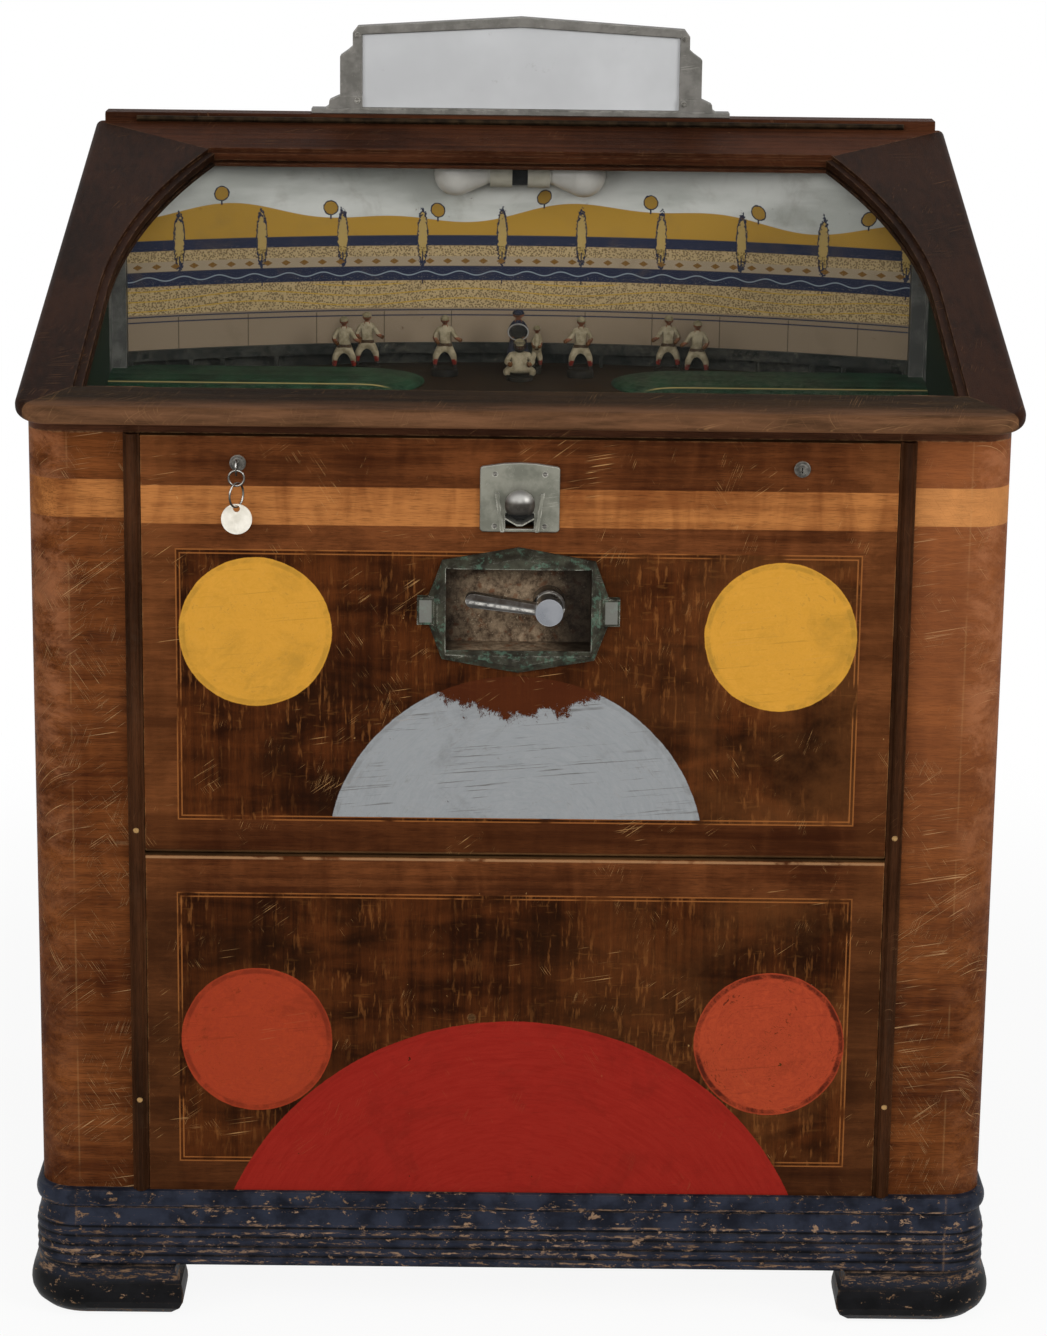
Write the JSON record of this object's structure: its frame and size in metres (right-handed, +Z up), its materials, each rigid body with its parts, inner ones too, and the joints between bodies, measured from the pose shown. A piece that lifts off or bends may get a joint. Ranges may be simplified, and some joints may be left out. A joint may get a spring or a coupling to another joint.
{
  "type": "coin-operated pin game",
  "caption": "Floor-standing coin-operated pin game with a sloping glazed hood, drop-front door, bat lever, turning runner disc and curved backdrop.",
  "frame": {"origin": "on the floor, at the middle of the overall width and depth", "axes": "+X to the right seen from the front, +Y to the back, +Z up"},
  "size_m": [1.06, 0.87, 1.355],
  "materials": {
    "veneer": "satin",
    "side_wood": "satin",
    "hood_wood": "satin",
    "plain_board": "matte",
    "plinth_wood": "satin",
    "foot_wood": "satin",
    "bead_wood": "satin",
    "plug_wood": "matte",
    "field_wood": "satin",
    "green_paint": "satin",
    "backdrop_paint": "matte",
    "figure_paint": "satin",
    "disc_paint": "satin",
    "glazing": "gloss",
    "frosted_glass": "satin",
    "sign_metal": "satin",
    "casting": "satin",
    "coin_metal": "satin",
    "bright_metal": "gloss",
    "steel": "satin",
    "bat_wood": "satin",
    "hinge_brass": "satin",
    "tag_board": "matte",
    "bulb_glass": "gloss",
    "socket_cream": "satin",
    "black_enamel": "satin"
  },
  "bodies": {
    "cabinet": {"left_pillar": "veneer", "right_pillar": "veneer", "left_side_panel": "side_wood", "right_side_panel": "side_wood", "back_panel": "plain_board", "bottom_board": "plain_board", "lower_front_panel": "veneer", "front_header_rail": "veneer", "plinth_moulding": "plinth_wood", "bracket_feet": "foot_wood", "trim_strips": "bead_wood", "trim_plugs": "plug_wood", "top_board": "side_wood", "playfield_board": "field_wood", "field_rim": "green_paint", "backdrop_panel": "backdrop_paint", "field_aprons": "green_paint", "backdrop_posts": "steel", "player_figures": "figure_paint", "lamp_bracket": "steel", "lamp_sockets": "socket_cream", "light_bulbs": "bulb_glass", "drive_motor": "black_enamel", "runner_bridge": "steel", "sign_frame": "sign_metal", "sign_glass": "frosted_glass", "sign_screws": "bright_metal", "hood_hinge": "hinge_brass", "back_door_pins": "steel", "door_pivots": "steel", "rack_guides": "steel", "power_transformer": "black_enamel"},
    "front_door": {"front_door": "veneer", "lever_housing": "casting", "coin_plate": "coin_metal", "coin_cradle": "bright_metal", "coin_plate_screws": "bright_metal", "lock_housings": "bright_metal", "coin_chute": "steel"},
    "lever": {"lever_arm": "bright_metal", "lever_crank": "steel"},
    "coin_button": {"thumb_piece": "bright_metal"},
    "left_lock": {"left_lock_plug": "bright_metal", "door_key": "bright_metal"},
    "right_lock": {"right_lock_plug": "bright_metal"},
    "key_ring": {"key_rings": "bright_metal"},
    "key_tag": {"key_tag": "tag_board"},
    "cash_box": {"cash_box": "steel"},
    "bat_rack": {"bat_rack": "steel"},
    "bat": {"bat": "bat_wood"},
    "runner_disc": {"runner_disc": "disc_paint", "base_runners": "figure_paint"},
    "motor_pinion": {"motor_pinion": "steel"},
    "hood": {"hood_front_rail": "hood_wood", "hood_rear_rail": "hood_wood", "hood_left_stile": "hood_wood", "hood_right_stile": "hood_wood", "hood_glass": "glazing", "hood_hinge_leaf": "hinge_brass"},
    "back_door": {"back_door": "plain_board"}
  },
  "joints": [
    {"name": "hood_hinge", "type": "hinge", "parent": "cabinet", "child": "hood", "pos_m": [0, 0.3924, 1.22934], "axis": [-1, 0, 0], "range_deg": [0, 65]},
    {"name": "front_door_hinge", "type": "hinge", "parent": "cabinet", "child": "front_door", "pos_m": [0, -0.3805, 0.5395], "axis": [1, 0, 0], "range_deg": [0, 90]},
    {"name": "back_door_hinge", "type": "hinge", "parent": "cabinet", "child": "back_door", "pos_m": [0.3225, 0.4255, 0.5], "axis": [0, 0, -1], "range_deg": [0, 90]},
    {"name": "lever_turn", "type": "hinge", "parent": "front_door", "child": "lever", "pos_m": [0.032, -0.39, 0.803], "axis": [0, -1, 0], "range_deg": [0, 28], "stiffness_Nm_per_rad": 1, "springref_deg": -17.19},
    {"name": "coin_button_push", "type": "slide", "parent": "front_door", "child": "coin_button", "axis": [0, 1, 0], "range_m": [0, 0.008], "stiffness_N_per_m": 200, "springref_m": -0.004},
    {"name": "left_lock_turn", "type": "hinge", "parent": "front_door", "child": "left_lock", "pos_m": [-0.2925, -0.39, 0.954], "axis": [0, -1, 0], "range_deg": [0, 90]},
    {"name": "right_lock_turn", "type": "hinge", "parent": "front_door", "child": "right_lock", "pos_m": [0.2925, -0.39, 0.954], "axis": [0, 1, 0], "range_deg": [0, 90]},
    {"name": "key_ring_swing", "type": "hinge", "parent": "left_lock", "child": "key_ring", "pos_m": [-0.2925, -0.412, 0.9495], "axis": [0, 1, 0], "range_deg": [-40, 40]},
    {"name": "key_tag_swing", "type": "hinge", "parent": "key_ring", "child": "key_tag", "pos_m": [-0.2925, -0.412, 0.9101], "axis": [0, 1, 0], "range_deg": [-40, 40]},
    {"name": "cash_box_lift", "type": "slide", "parent": "cabinet", "child": "cash_box", "axis": [0, 0, 1], "range_m": [0, 0.3]},
    {"name": "bat_rack_slide", "type": "slide", "parent": "cabinet", "child": "bat_rack", "axis": [-1, 0, 0], "range_m": [0, 0.0175]},
    {"name": "bat_swing", "type": "hinge", "parent": "cabinet", "child": "bat", "pos_m": [-0.02, -0.29213, 0.855], "axis": [0, 0, -1], "range_deg": [0, 83.3]},
    {"name": "runner_disc_turn", "type": "hinge", "parent": "cabinet", "child": "runner_disc", "pos_m": [0, 0, 0.90756], "axis": [0, -0.0523, 0.9986], "continuous": true},
    {"name": "motor_pinion_turn", "type": "hinge", "parent": "cabinet", "child": "motor_pinion", "pos_m": [0, 0.0749, 0.91149], "axis": [0, -0.0523, 0.9986], "continuous": true}
  ],
  "couplings": [
    {"joint": "bat_rack_slide", "follows": "lever_turn", "m_per_rad": 0.035643},
    {"joint": "bat_swing", "follows": "lever_turn", "ratio": 2.9702},
    {"joint": "motor_pinion_turn", "follows": "runner_disc_turn", "ratio": -4}
  ]
}
